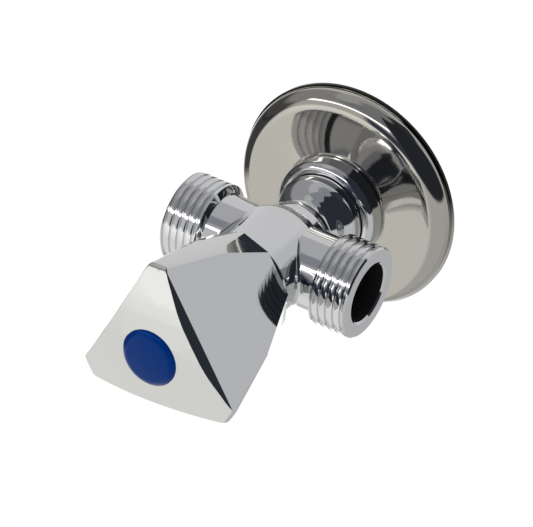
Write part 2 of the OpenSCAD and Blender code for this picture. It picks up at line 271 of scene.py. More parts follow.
class Graph:
    """Adds linked nodes to a material or a world."""

    def __init__(self, owner: bpy.types.Material | bpy.types.World) -> None:
        """Takes the nodes of a material or a world.

        Args:
            owner: The material or world.
        """
        owner.use_nodes = True
        self.nodes = owner.node_tree.nodes
        self.link = owner.node_tree.links.new

    def feed(self, node: bpy.types.Node, inputs: Inputs) -> Outputs:
        """Sets or links inputs of a node.

        Args:
            node: The node.
            inputs: Constants, or outputs of other nodes, by the input's name or number.

        Returns:
            The outputs of the node.
        """
        for name, value in inputs.items():
            if isinstance(value, Socket):
                self.link(value, node.inputs[name])
            else:
                node.inputs[name].default_value = value
        return node.outputs

    def add(self, kind: str, inputs: Inputs | None = None, **options: str) -> Outputs:
        """Adds a shader node.

        Args:
            kind: Its type.
            inputs: What its inputs are set or linked to.
            options: Its options.

        Returns:
            The outputs of the node.
        """
        node = self.nodes.new("ShaderNode" + kind)
        for name, option in options.items():
            setattr(node, name, option)
        return self.feed(node, inputs or {})

    def maths(self, operation: str, *values: Value) -> Socket:
        """Adds one operation on its values in order."""
        return self.add("Math", dict(enumerate(values)), operation=operation)[0]

    def spread(self, value: Socket, limits: Point, results: Point, ease: str = "LINEAR") -> Socket:
        """Spreads the values between two limits over those between two results."""
        inputs = dict(enumerate((value, *limits, *results)))
        return self.add("MapRange", inputs, interpolation_type=ease)["Result"]

    def falling(self, value: Socket, edge: float, blur: float) -> Socket:
        """Gives 1 below an edge and falls softly to 0 across it."""
        return self.spread(value, (edge - blur / 2, edge + blur / 2), (1, 0), "SMOOTHSTEP")

    def noise(self, place: Socket, scale: float, detail: float) -> Socket:
        """Adds noise from 0 to 1, by its patches in a metre and its octaves of finer noise."""
        return self.add("TexNoise", {"Vector": place, "Scale": scale, "Detail": detail})["Fac"]

    def mixed(self, share: Socket, first: Value, second: Value) -> Socket:
        """Blends two colours by the share of the second. A Mix node has them as 6, 7 and 2."""
        return self.add("Mix", {"Factor": share, 6: first, 7: second}, data_type="RGBA")[2]

    def seen(self) -> Socket:
        """Tells rays of the camera, of reflections and through glass from all others.

        Returns:
            The socket that is 1 for such a ray and 0 for light on matt surfaces.
        """
        rays = self.add("LightPath")
        direct = self.maths("MAXIMUM", rays["Is Camera Ray"], rays["Is Glossy Ray"])
        return self.maths("MAXIMUM", direct, rays["Is Transmission Ray"])


@dataclass(frozen=True)
class Grain:
    """Fine unevenness of a finish.

    Attributes:
        size: Length of one patch in millimetres.
        tint: Share by which the colour varies.
        gloss: Amount by which the roughness varies.
        height: Height of the relief in millimetres.
    """

    size: float
    tint: float
    gloss: float
    height: float


@dataclass(frozen=True)
class Finish:
    """A surface finish that builds its own node material.

    Attributes:
        name: Name of the material.
        colour: Linear base colour.
        metallic: 1 for bare or plated metal.
        roughness: Mean roughness.
        grain: Its unevenness.
        specular: Strength of the reflection of a surface that isn't metal.
        sheen: Triple of that reflection.
        painted_shade: Heights in millimetres between which a painted shade darkens the colour
            upwards.
        painted_shade_left: Share of the colour that is left above them, under the painted shade.
    """

    name: str
    colour: Triple
    metallic: float
    roughness: float
    grain: Grain
    specular: float = 0.5
    sheen: Triple = (1, 1, 1)
    painted_shade: Point | None = None
    painted_shade_left: float = 0.04

    def material(self) -> bpy.types.Material:
        """Builds the material.

        Returns:
            A material with noise in its colour, roughness and relief, and with a painted shade that
            darkens the colour upwards where one is set.
        """
        material = bpy.data.materials.new(self.name)
        graph = Graph(material)
        grain, patch = self.grain, self.grain.size * MM
        place = graph.add("TexCoord")["Object"]
        patches = graph.noise(place, 1 / patch, 3)
        tint = graph.spread(patches, (0, 1), (1 - grain.tint, 1 + grain.tint))
        # Painted shade: the colour darkens upwards between the two heights.
        if self.painted_shade:
            limits = tuple(height * MM for height in self.painted_shade)
            height = graph.add("SeparateXYZ", {0: place})["Z"]
            tint = graph.maths("MULTIPLY", tint, graph.spread(height, limits, (1, self.painted_shade_left)))
        colour = graph.add("VectorMath", {0: self.colour, "Scale": tint}, operation="SCALE")
        gloss = (self.roughness - grain.gloss, self.roughness + grain.gloss)
        bumps = {"Distance": grain.height * MM, "Height": graph.noise(place, 3 / patch, 2)}
        surface = {
            "Base Color": colour["Vector"],
            "Metallic": self.metallic,
            "Roughness": graph.spread(patches, (0, 1), gloss),
            "Specular IOR Level": self.specular,
            "Specular Tint": (*self.sheen, 1),
            "Normal": graph.add("Bump", bumps)["Normal"],
        }
        graph.feed(graph.nodes["Principled BSDF"], surface)
        return material


CHROME = Finish("polished_chrome", (0.66, 0.665, 0.67), 1, 0.03, Grain(6, 0.01, 0.012, 0.0015))
KNOB_CHROME = Finish("knob_chrome", (0.655, 0.655, 0.645), 1, 0.05, Grain(8, 0.01, 0.015, 0.0015))
ROSETTE_METAL = Finish("rosette_metal", (0.48, 0.465, 0.425), 1, 0.06, Grain(5, 0.02, 0.02, 0.002))
# The rosette's lip: its colour darkens upwards from 2 mm to 9 mm, a painted shade on the lip's top.
ROSETTE_LIP_PAINTED_SHADE = Finish(
    "rosette_lip_painted_shade", (0.45, 0.44, 0.42), 1, 0.15, Grain(5, 0.02, 0.02, 0.002), painted_shade=(2, 9)
)
# Near-black inside of the bores: a painted shade for the dark waterways.
WATERWAY_PAINTED_SHADE = Finish("waterway", (0.012, 0.012, 0.013), 0, 0.55, Grain(2, 0.25, 0.1, 0.02))
BLUE_PLASTIC = Finish(
    "blue_plastic",
    (0.0005, 0.031, 0.205),
    0,
    0.18,
    Grain(1.2, 0.06, 0.04, 0.003),
    specular=0.4,
    sheen=(0.05, 0.3, 0.85),
)
BRASS = Finish("turned_brass", (0.75, 0.52, 0.2), 1, 0.25, Grain(1.5, 0.05, 0.08, 0.002))
RUBBER = Finish("black_rubber", (0.015, 0.015, 0.016), 0, 0.6, Grain(1, 0.2, 0.1, 0.01))
FIBRE = Finish("fibre_gasket", (0.05, 0.035, 0.03), 0, 0.8, Grain(0.5, 0.3, 0.1, 0.02))
WHITE_PLASTIC = Finish("white_plastic", (0.75, 0.75, 0.72), 0, 0.4, Grain(2, 0.03, 0.06, 0.003))
SPRING_STEEL = Finish("spring_steel", (0.5, 0.5, 0.5), 1, 0.3, Grain(0.8, 0.06, 0.08, 0.002))


def finished(
    obj: Piece, part: Part, slot: Slot, node: str, *finishes: Finish, angle: float = 24
) -> Piece:
    """Shades and dresses a piece and puts it in the place of its CAD node.

    Args:
        obj: The piece in its place.
        part: The body that it rides on.
        slot: The record's slot for its finish. Not used.
        node: CAD node that it replaces.
        finishes: Its finishes in the order of its material slots.
        angle: Edges below this angle in degrees are shaded smooth.

    Returns:
        The finished piece.
    """
    pick(obj)
    bpy.ops.object.shade_smooth_by_angle(angle=math.radians(angle), keep_sharp_edges=False)
    modified(obj, "WEIGHTED_NORMAL", keep_sharp=True)
    dress(obj, *(finish.material() for finish in finishes))
    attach(obj, part.value)
    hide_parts(node)
    return obj


# Threads


@dataclass
class PipeThread:
    """Half-inch pipe thread with broad, softly crowned crests.

    Attributes:
        crest: Radius at the crests.
        pitch: Advance of one turn.
        depth: Depth of the grooves.
        flat: Share of the pitch that the crowned crest takes.
        crown: Height of the crown.
        root_rise: Rise of the groove's floor towards the flank.
        root_run: Width of that rise.
        shoulder_drop: Share of the flank that rounds into the crest.
        shoulder_run: Width of that round.
        steps: Segments of one turn.
    """

    crest: float = 10.4775
    pitch: float = 1.814
    depth: float = 0.5
    flat: float = 0.66
    crown: float = 0.06
    root_rise: float = 0.02
    root_run: float = 0.1
    shoulder_drop: float = 0.3
    shoulder_run: float = 0.03
    steps: int = 128

    def outline(self) -> list[Point]:
        """One pitch of the outline.

        Returns:
            Points as (radius, z) from one groove's middle to the next.
        """
        half = self.pitch / 2
        edge = half * self.flat
        root = self.crest - self.depth
        shoulder = self.crest - self.crown
        crest_steps = 10
        crest = []
        for i in range(crest_steps + 1):
            share = 2 * i / crest_steps - 1
            crest.append((self.crest - self.crown * share * share, half + edge * share))
        drop = (shoulder - root) * self.shoulder_drop
        flank = [
            (root, 0.0),
            (root + self.root_rise, self.root_run),
            (shoulder - drop, half - edge - self.shoulder_run),
        ]
        return flank + crest + [(r, self.pitch - z) for r, z in reversed(flank)]

    def bar(self, name: str, start: float, end: float, blank: list[Point]) -> Piece:
        """Makes a threaded bar along z.

        Args:
            name: Name of the new object.
            start: z of the first end.
            end: z of the last end.
            blank: Outline that the bar is trimmed to.

        Returns:
            The new object, closed.
        """
        nothing_picked()
        outline = self.outline()
        first = start - 1.5 * self.pitch
        radius, z = outline[0]
        bpy.ops.mesh.primitive_circle_add(vertices=3, radius=MM)
        obj = bpy.context.object
        obj.name = name
        bpy.ops.object.mode_set(mode="EDIT")
        bpy.ops.mesh.select_mode(type="VERT")
        bpy.ops.mesh.select_all(action="SELECT")
        bpy.ops.mesh.merge(type="CENTER")
        bpy.ops.transform.translate(value=(radius * MM, 0, (first + z) * MM))
        for (r_from, z_from), (r_to, z_to) in pairwise(outline):
            step = {"value": ((r_to - r_from) * MM, 0, (z_to - z_from) * MM)}
            bpy.ops.mesh.extrude_region_move(TRANSFORM_OT_translate=step)
        modified(
            obj,
            "SCREW",
            axis="Z",
            angle=2 * math.pi,
            screw_offset=self.pitch * MM,
            iterations=math.ceil((end - start) / self.pitch) + 4,
            steps=self.steps,
            render_steps=self.steps,
        )
        opened(obj)
        bpy.ops.mesh.remove_doubles(threshold=2e-6)
        bpy.ops.object.mode_set(mode="OBJECT")
        plane_cut(obj, Vector((0, 0, start * MM)), Vector((0, 0, -1)))
        plane_cut(obj, Vector((0, 0, end * MM)), Vector((0, 0, 1)))
        faced_outwards(obj)
        shape(obj, turned("blank", blank, 128), Operation.TRIM)
        return obj


# Sub-assemblies


@dataclass
class ValveCasting:
    """The chromed body: shank, collar, bulb, waist, barrel and the two outlet arms."""

    axis_y: float = 31.1
    shank_back: float = -14
    shank_front: float = 1
    shank_plain_r: float = 9.9775
    shank_lap: float = 0.3
    shank_lead: float = 1
    blank_clear: float = 0.2
    collar_r: float = 12.3
    collar_back: float = 6.3
    collar_front: float = 11.4
    collar_round: float = 2
    collar_break: float = 0.2
    bulb_centre: Point = (3.6, 12.9)
    bulb_r: float = 6.6
    groove_centre: Point = (11.3, 20.185)
    groove_r: float = 4
    lip_r: float = 8.9
    barrel_round: float = 6
    barrel_round_z: float = 30.1
    barrel_r: float = 10.9
    barrel_front: float = 44.4
    barrel_break: float = 0.25
    neck_r: float = 8.8
    neck_step: float = 0.05
    arm_face: float = 23.55
    arm_thread: float = 9.2
    runout: float = 0.6
    chamfer: float = 0.4
    mouth_r: float = 6.8
    mouth_depth: float = 11.2
    drill_r: float = 6.2
    inlet_r: float = 6.5
    inlet_front: float = 16.885
    seat_r: float = 4.2
    seat_ring_r: float = 5.5
    seat_back: float = 18.385
    seat_flange: float = 22.385
    chamber_r: float = 8.2
    chamber_back: float = 25.785
    bonnet_back: float = 38.3
    bonnet_r: float = 9
    gasket_seat: float = 42.6
    flange_r: float = 10.1
    fillet: float = 1
    fillet_sunk: float = 0.012
    fillet_depth: float = 1.5
    thread: PipeThread = field(default_factory=PipeThread)

    def outline(self) -> list[Point]:
        """Draws the revolved outside.

        Returns:
            The outline from the shank to the barrel's front.
        """
        start = self.collar_front - self.bulb_centre[1]
        bulb_start = math.degrees(math.asin(start / self.bulb_r))
        rise = self.groove_centre[1] - self.bulb_centre[1]
        run = self.groove_centre[0] - self.bulb_centre[0]
        bulb_end = math.degrees(math.atan2(rise, run))
        groove_end = math.degrees(math.acos((self.lip_r - self.groove_centre[0]) / self.groove_r))
        round_r = self.barrel_r - self.barrel_round
        lip_end = -math.degrees(math.acos((self.lip_r - round_r) / self.barrel_round))
        return [
            (self.shank_plain_r, self.shank_front - self.shank_lap),
            (self.shank_plain_r, self.collar_back),
            (self.collar_r - self.collar_break, self.collar_back),
            (self.collar_r, self.collar_back + self.collar_break),
            *arc(
                (self.collar_r - self.collar_round, self.collar_front - self.collar_round),
                self.collar_round, 0, 90, 12,
            ),
            *arc(self.bulb_centre, self.bulb_r, bulb_start, bulb_end, 24),
            *arc(self.groove_centre, self.groove_r, 180 + bulb_end, groove_end, 28)[1:],
            *arc((round_r, self.barrel_round_z), self.barrel_round, lip_end, 0, 16),
            (self.barrel_r, self.barrel_front - self.barrel_break),
            (self.barrel_r - self.barrel_break, self.barrel_front),
        ]

    def cavity(self) -> Piece:
        """Makes the tool for the inlet, seat bore, chamber and headwork thread.

        Returns:
            The tool in its place.
        """
        outline = [
            (self.inlet_r, self.shank_back - 1),
            (self.inlet_r, self.inlet_front),
            (self.seat_r, self.seat_back),
            (self.seat_ring_r, self.seat_back),
            (self.seat_ring_r, self.seat_flange),
            (self.chamber_r, self.chamber_back),
            (self.chamber_r, self.bonnet_back),
            (self.bonnet_r, self.bonnet_back),
            (self.bonnet_r, self.gasket_seat),
            (self.flange_r, self.gasket_seat),
            (self.flange_r, self.barrel_front + 1),
        ]
        return from_wall(turned("cavity", outline, 96))

    def arm_place(self, side: int) -> Matrix:
        """Where an arm drawn along z goes, with side 1 for the right and -1 for the left."""
        turn = Matrix.Rotation(math.radians(90 * side), 4, "Y")
        return Matrix.Translation((0, -self.axis_y * MM, 0)) @ turn

    def arm(self, side: int) -> Piece:
        """Makes one outlet arm with its neck and thread.

        Args:
            side: 1 for the right arm, -1 for the left.

        Returns:
            The arm in its place.
        """
        thread_back = self.arm_face - self.arm_thread
        crest, clear = self.thread.crest, self.blank_clear
        blank = [
            (self.neck_r + self.neck_step, thread_back - self.runout / 2),
            (crest + clear, thread_back + self.runout),
            (crest + clear, self.arm_face - self.chamfer - clear),
            (crest - self.chamfer, self.arm_face),
        ]
        spare, lap = 1.2, 0.5
        arm = self.thread.bar("arm", thread_back - spare, self.arm_face + lap, blank)
        neck = turned("neck", guarded([(self.neck_r, 2), (self.neck_r, thread_back + lap)]))
        shape(arm, neck, Operation.JOIN)
        return placed(arm, self.arm_place(side))

    def gap_to_outline(self, point: Vector, outline: list[Vector]) -> tuple[float, Vector]:
        """Finds the nearest point of the revolved outside.

        Args:
            point: A point as (radius, distance from the wall).
            outline: Points of the outline.

        Returns:
            The distance and the nearest point.
        """
        best = (math.inf, point)
        for start, end in pairwise(outline):
            along = end - start
            share = min(1, max(0, (point - start).dot(along) / along.length_squared))
            near = start + along * share
            best = min(best, ((point - near).length, near), key=lambda pair: pair[0])
        return best

    def arm_fillet(self, side: int, turns: int = 180, steps: int = 10) -> Piece:
        """Sweeps a ball along the corner between an arm's neck and the revolved outside.

        Args:
            side: 1 for the right arm, -1 for the left.
            turns: Sections round the arm.
            steps: Steps of the round in one section.

        Returns:
            A closed ring whose hollow face is the fillet. Its back lies inside both shapes.
        """
        margin, halvings = 3, 30
        rear = self.groove_centre[1] - margin
        outline = [Vector(point) for point in self.outline() if point[1] > rear]
        vertices = []
        for i in range(turns):
            turn = 2 * math.pi * i / turns
            out = Vector((0, -math.cos(turn), math.sin(turn)))
            centre = Vector((0, -self.axis_y, 0)) + out * (self.neck_r + self.fillet)
            low, high = 0.0, self.arm_face
            for _ in range(halvings):
                centre.x = (low + high) / 2
                radius = math.hypot(centre.x, centre.z)
                gap, near = self.gap_to_outline(Vector((radius, -centre.y)), outline)
                clear = gap > self.fillet and radius > near.x
                low, high = (low, centre.x) if clear else (centre.x, high)
            scale = near.x / radius
            to_arm = -out
            touch = Vector((centre.x * scale, -near.y, centre.z * scale))
            to_barrel = (touch - centre).normalized()
            angle = to_arm.angle(to_barrel)
            section = []
            for k in range(steps + 1):
                share = k / steps
                direction = (
                    to_arm * math.sin((1 - share) * angle) + to_barrel * math.sin(share * angle)
                ) / math.sin(angle)
                reach = self.fillet + (self.fillet_sunk if k in (0, steps) else 0)
                section.append(centre + direction * reach)
            corner = (to_arm + to_barrel) * self.fillet / (1 + math.cos(angle))
            section.append(centre + corner * self.fillet_depth)
            vertices += [Vector((v.x * side, v.y, v.z)) * MM for v in section]
        count = steps + 2
        faces = []
        for i in range(turns):
            here, there = i * count, (i + 1) % turns * count
            for k in range(count):
                beside = (k + 1) % count
                faces.append((here + k, here + beside, there + beside, there + k))
        mesh = bpy.data.meshes.new("fillet")
        mesh.from_pydata(vertices, [], faces)
        ring = bpy.data.objects.new("fillet", mesh)
        bpy.context.collection.objects.link(ring)
        return faced_outwards(ring)

    def port(self, side: int) -> Piece:
        """Makes the tool for the stepped waterway of one arm.

        Args:
            side: 1 for the right arm, -1 for the left.

        Returns:
            The tool in its place.
        """
        mouth_back = self.arm_face - self.mouth_depth
        outline = [
            (self.drill_r, 2),
            (self.drill_r, mouth_back),
            (self.mouth_r, mouth_back),
            (self.mouth_r, self.arm_face - self.chamfer),
            (self.mouth_r + self.chamfer, self.arm_face),
            (self.mouth_r + self.chamfer, self.arm_face + 1),
        ]
        return placed(turned("port", outline, 96), self.arm_place(side))

    def build(self) -> Piece:
        """Builds the casting.

        Returns:
            The finished piece, dressed in chrome, with near-black waterways as a painted shade.
        """
        casting = from_wall(turned("valve_body_chrome", guarded(self.outline())))
        crest, clear = self.thread.crest, self.blank_clear
        blank = [
            (crest - self.shank_lead, self.shank_back),
            (crest + clear, self.shank_back + self.shank_lead + clear),
            (crest + clear, self.shank_front + 1),
        ]
        shank = self.thread.bar("shank", self.shank_back, self.shank_front, blank)
        shape(casting, from_wall(shank), Operation.JOIN)
        for side in (1, -1):
            shape(casting, self.arm(side), Operation.JOIN)
            shape(casting, self.arm_fillet(side), Operation.JOIN)
        shape(casting, self.cavity(), Operation.CUT)
        for side in (1, -1):
            shape(casting, self.port(side), Operation.CUT)
        finished(casting, Part.FIXED, Slot.CHROME_BODY, "valve_body", CHROME, WATERWAY_PAINTED_SHADE)
        self.darken_waterways(casting)
        return casting

    def darken_waterways(self, casting: Piece) -> None:
        """Gives the faces inside the bores the near-black waterway finish, a painted shade.

        Args:
            casting: The finished casting.
        """
        slack, square = 0.05, 0.99
        bore_r = (self.flange_r + 2 * slack) * MM
        port_r = (self.mouth_r + slack) * MM
        front, back = -self.barrel_front * MM, -self.shank_back * MM
        for face in casting.data.polygons:
            x, y, z = face.center
            off_axis = y + self.axis_y * MM
            in_main = math.hypot(x, z) < bore_r and front < y < back
            in_arm = math.hypot(off_axis, z) < port_r
            if not (in_main or in_arm):
                continue
            across = Vector((x, 0, z)) if in_main else Vector((0, off_axis, z))
            inward = face.normal.dot(across) < 0
            step = abs(face.normal.y if in_main else face.normal.x) > square
            end_face = in_arm and abs(x) > (self.arm_face - slack) * MM
            # Painted shade: the walls and steps inside the bores take the near-black second
            # material.
            if (inward or step) and not end_face:
                face.material_index = 1


@dataclass
class WallRosette:
    """The round pressed cover against the wall."""

    lip_r: float = 27.1
    lip_height: float = 0.9
    lip_break: float = 0.12
    rim_centre: Point = (22.5, 1.2)
    rim_round: float = 4.1
    hub_r: float = 12.9
    hub_height: float = 6.2
    hole_r: float = 10.7775
    sheet: float = 0.7
    dish_bend: float = 0.65
    dish_steps: int = 24

    def outline(self, inset: float) -> list[Point]:
        """Draws one side of the sheet.

        Args:
            inset: Distance in from the outside.

        Returns:
            The outline from the lip to the hole.
        """
        rim_r, rim_z = self.rim_centre
        crest = rim_z + self.rim_round
        lip = self.lip_height - inset
        start = math.degrees(math.asin((lip - rim_z) / (self.rim_round - inset)))
        dish = []
        for i in range(1, self.dish_steps + 1):
            share = i / self.dish_steps
            rise = (self.hub_height - crest) * (
                (1 - self.dish_bend) * share + self.dish_bend * share**3
            )
            dish.append((rim_r + (self.hub_r - rim_r) * share, crest + rise - inset))
        return [
            (self.lip_r - inset, 0),
            (self.lip_r - inset, lip - self.lip_break),
            (self.lip_r - inset - self.lip_break, lip),
            *arc(self.rim_centre, self.rim_round - inset, start, 90, 28),
            *dish,
            (self.hole_r, self.hub_height - inset),
        ]

    def build(self) -> Piece:
        """Builds the rosette.

        Returns:
            The finished piece.
        """
        outside = guarded(self.outline(0))
        inside = self.outline(self.sheet)
        rosette = from_wall(turned("wall_rosette_cover", outside + inside[::-1], 256, hollow=True))
        finished(rosette, Part.FIXED, Slot.ROSETTE_STEEL, "wall_rosette", ROSETTE_METAL, ROSETTE_LIP_PAINTED_SHADE)
        slack = 0.02
        rim_r = (self.rim_centre[0] + self.rim_round + slack) * MM
        # Faces beyond the rim's round take the lip material, whose colour darkens upwards as a
        # painted shade.
        for face in rosette.data.polygons:
            if math.hypot(face.center.x, face.center.z) > rim_r:
                face.material_index = 1
        return rosette


@dataclass
class IndexCap:
    """The round blue cap in the knob's front."""

    radius: float = 6.5
    back: float = 79.2
    shoulder: float = 79.85
    top: float = 80.95
    crown: float = 0.05
    edge_round: float = 2.2
    edge_slope: float = 56
    plug_r: float = 4.95
    plug_wall: float = 1.1
    plug_back: float = 74.2

    def build(self) -> Piece:
        """Builds the cap.

        Returns:
            The finished piece.
        """
        slope = math.radians(self.edge_slope)
        round_r = self.radius - self.edge_round * math.sin(slope)
        round_z = self.shoulder - self.edge_round * math.cos(slope)
        edge = arc((round_r, round_z), self.edge_round, 90 - self.edge_slope, 88, 16)
        outline = [
            (self.plug_r - self.plug_wall, self.back),
            (self.plug_r - self.plug_wall, self.plug_back),
            (self.plug_r, self.plug_back),
            (self.plug_r, self.back),
            (self.radius, self.back),
            (self.radius, self.shoulder),
            *edge[1:],
            (round_r / 2, self.top + 0.7 * self.crown),
            (0.05, self.top + self.crown),
        ]
        cap = from_wall(turned("index_cap_blue", guarded(outline, 0.03), 128))
        return finished(cap, Part.HANDLE, Slot.BLUE_CAP, "index_cap", BLUE_PLASTIC, angle=30)


@dataclass
class Knob:
    """The three-cornered knob with its domed front, leaning bands and rear flats."""

    rear: float = 44.8
    edge: float = 76.8
    front: float = 80.3
    side_dist: float = 12
    side_taper: float = 2.5
    corner_dist: float = 20.9
    corner_taper: float = 14.9
    corner_round: float = 1.3
    band_lean: float = 16
    band_round: float = 0.8
    side_front_round: float = 0.6
    corner_front_round: float = 1.6
    hair: float = 0.012
    dome_r: float = 62
    flat_turn: float = 24
    flat_dist: float = 11.55
    flat_taper: float = 17.5
    turn: float = 4.8
    recess_r: float = 6.55
    recess_back: float = 79.2
    screw_bore_r: float = 5
    web_front: float = 68.5
    web_back: float = 66
    screw_hole_r: float = 2.15
    socket_af: float = 11
    cavity_r: float = 9.3
    cavity_front: float = 56
    sides: tuple[int, int, int] = (30, 150, 270)
    corners: tuple[int, int, int] = (90, 210, 330)

    def plane(self, turn: float, dist: float, z: float, taper: float) -> tuple[Vector, Vector]:
        """One outer plane of the knob as drawn along z.

        Args:
            turn: Direction that it faces, in degrees about z.
            dist: Distance from the axis at the height z.
            z: That height.
            taper: Angle by which it draws in towards the rear.

        Returns:
            A point of the plane in metres and its outward normal.
        """
        about = Matrix.Rotation(math.radians(turn), 3, "Z")
        lean = math.radians(taper)
        normal = Vector((math.cos(lean), 0, -math.sin(lean)))
        return about @ Vector((dist, 0, z)) * MM, about @ normal

    def prism(self) -> Piece:
        """Cuts the prism with its blunt corners and leaning bands from a block.

        Returns:
            The prism, with round edges between sides, corners and bands.
        """
        nothing_picked()
        block, middle = 120, (self.rear + self.front) / 2
        bpy.ops.mesh.primitive_cube_add(size=block * MM, location=(0, 0, middle * MM))
        prism = bpy.context.object
        prism.name = "knob_chromed"
        bpy.ops.object.transform_apply()
        plane, top = self.plane, self.edge
        side_planes = [plane(t, self.side_dist, top, self.side_taper) for t in self.sides]
        strip_planes = [plane(t, self.corner_dist, top, self.corner_taper) for t in self.corners]
        band_planes = [plane(t, self.side_dist, top, -self.band_lean) for t in self.sides]
        for place, normal in (*side_planes, *strip_planes, *band_planes):
            plane_cut(prism, place, normal)
        plane_cut(prism, Vector((0, 0, self.rear * MM)), Vector((0, 0, -1)))
        sides, strips, bands = (
            [normal for _, normal in planes] for planes in (side_planes, strip_planes, band_planes)
        )
        half_corner = math.radians(30)
        self.round_between(prism, sides, strips, self.corner_round * math.tan(half_corner), 6)
        half_bend = math.radians((self.side_taper + self.band_lean) / 2)
        self.round_between(prism, sides, bands, self.band_round * math.tan(half_bend), 3)
        return prism

    @staticmethod
    def round_between(
        obj: Piece, first: list[Vector], second: list[Vector], offset: float, steps: int
    ) -> None:
        """Rounds the edges between faces of two groups of directions.

        Args:
            obj: The piece.
            first: Normals of the first group.
            second: Normals of the second group.
            offset: Distance from the sharp edge to the round's ends, in millimetres.
            steps: Number of steps of the round.
        """
        pick(obj)
        same = 0.99999
        mesh = obj.data
        facing: dict[tuple[int, int], set[str]] = {}
        for face in mesh.polygons:
            for group, normals in (("first", first), ("second", second)):
                if any(face.normal.dot(normal) > same for normal in normals):
                    for key in face.edge_keys:
                        facing.setdefault(key, set()).add(group)
        for vertex in mesh.vertices:
            vertex.select = False
        for face in mesh.polygons:
            face.select = False
        for edge in mesh.edges:
            edge.select = facing.get(edge.key) == {"first", "second"}
        bpy.ops.object.mode_set(mode="EDIT")
        bpy.ops.mesh.select_mode(type="EDGE")
        bpy.ops.mesh.bevel(offset=offset * MM, segments=steps, affect="EDGES", clamp_overlap=False)
        bpy.ops.object.mode_set(mode="OBJECT")

    def dome(self) -> Piece:
        """Makes the tool for the domed front.

        Returns:
            The space below the dome.
        """
        edge_r, pole = 26, 89.9
        edge = math.degrees(math.acos(edge_r / self.dome_r))
        centre = (0, self.front - self.dome_r)
        outline = [(edge_r, self.rear - 5), *arc(centre, self.dome_r, edge, pole, 40)]
        return turned("dome", outline)

    def front_rounds(self, prism: Piece) -> list[Piece]:
        """Makes the tools that round the edge between the domed front and each other face.

        Such an edge is a circle about the line from the dome's centre square to the face, so its
        round can be turned about that line. A tool's ball is a hair larger than the dome.

        Args:
            prism: The knob before its front is domed.

        Returns:
            A turned tool for each face, which holds the whole knob but for the sharp edge.
        """
        centre = Vector((0, 0, self.front - self.dome_r)) * MM
        ball = self.dome_r + self.hair
        side_to_corner = 60
        tools = []
        for face in prism.data.polygons:
            reach = max((prism.data.vertices[i].co - centre).length for i in face.vertices)
            if abs(face.normal.z) > 0.5 or reach < self.dome_r * MM:
                continue
            turn = math.degrees(math.atan2(face.normal.y, face.normal.x))
            beside = min(abs((turn - corner + 180) % 360 - 180) for corner in self.corners)
            spread = self.side_front_round - self.corner_front_round
            round_r = self.corner_front_round + spread * min(1, beside / side_to_corner)
            distance = (face.center - centre).dot(face.normal) / MM
            ring_z = distance - round_r
            ring_r = math.sqrt((ball - round_r) ** 2 - ring_z**2)
            touch = math.degrees(math.atan2(ring_z, ring_r))
            pole, near = -89, touch - 12
            outline = [
                *arc((0, 0), ball, pole, near, 12),
                *arc((0, 0), ball, near, touch, 6)[1:],
                *arc((ring_r, ring_z), round_r, touch, 90, 8)[1:],
                (1, distance),
            ]
            aim = face.normal.to_track_quat("Z", "Y").to_matrix().to_4x4()
            tool = turned("front_round", outline, 240)
            tools.append(placed(tool, Matrix.Translation(centre) @ aim))
        return tools

    def build(self) -> Piece:
        """Builds the knob.

        Returns:
            The finished piece.
        """
        knob = self.prism()
        rounds = self.front_rounds(knob)
        for tool in (self.dome(), *rounds):
            shape(knob, tool, Operation.TRIM)
        for corner in self.corners:
            for side in (-1, 1):
                turn = corner + side * self.flat_turn
                plane_cut(knob, *self.plane(turn, self.flat_dist, self.rear, self.flat_taper))
        bore = [
            (self.screw_hole_r, self.web_back - 1),
            (self.screw_hole_r, self.web_front),
            (self.screw_bore_r, self.web_front),
            (self.screw_bore_r, self.recess_back),
            (self.recess_r, self.recess_back),
            (self.recess_r, self.front + 1),
        ]
        shape(knob, turned("bore", bore, 128), Operation.CUT)
        corner_r = self.socket_af / math.sqrt(3)
        socket = turned("socket", [(corner_r, self.cavity_front - 1), (corner_r, self.web_back)], 6)
        shape(knob, placed(socket, Matrix.Rotation(math.radians(30), 4, "Z")), Operation.CUT)
        cavity = [(self.cavity_r, self.rear - 1), (self.cavity_r, self.cavity_front)]
        shape(knob, turned("cavity", cavity, 96), Operation.CUT)
        placed(knob, Matrix.Rotation(math.radians(self.turn), 4, "Z"))
        from_wall(knob)
        return finished(knob, Part.HANDLE, Slot.CHROME_KNOB, "knob", KNOB_CHROME, angle=22)


@dataclass
class InnerWorks:
    """The CAD pieces that keep their shape and get their finish here."""

    finishes: tuple[tuple[Finish, tuple[str, ...]], ...] = (
        (BRASS, ("valve_seat", "bonnet", "spindle", "plunger")),
        (FIBRE, ("bonnet_gasket",)),
        (RUBBER, ("rosette_seal", "spindle_o_rings", "plunger_o_ring", "seat_washer")),
        (WHITE_PLASTIC, ("thrust_washer", "knob_insert")),
        (SPRING_STEEL, ("spindle_clip", "retaining_washer", "washer_screw")),
        (SPRING_STEEL, ("knob_screw", "lock_washer")),
    )

    def build(self) -> list[Piece]:
        """Dresses the pieces.

        Returns:
            The dressed CAD pieces.
        """
        pieces = []
        for finish, nodes in self.finishes:
            material = finish.material()
            for node in nodes:
                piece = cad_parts[node]
                if not piece.material_slots:
                    piece.data.materials.append(material)
                for slot in piece.material_slots:
                    slot.material = material
                pieces.append(piece)
        return pieces


# Studio


@dataclass(frozen=True)
class Panel:
    """One soft-edged area of the surroundings.

    Attributes:
        azimuth: Middle in degrees, 0 along +X and 90 towards the wall.
        elevation: Height of the middle in degrees.
        width: Extent in azimuth.
        height: Extent in elevation.
        colour: Linear radiance, 1 for white.
        blur: Width of the soft edge in degrees.
        slant: Rise in elevation for each degree of azimuth.
    """

    azimuth: float
    elevation: float
    width: float
    height: float
    colour: Triple
    blur: float = 6
    slant: float = 0


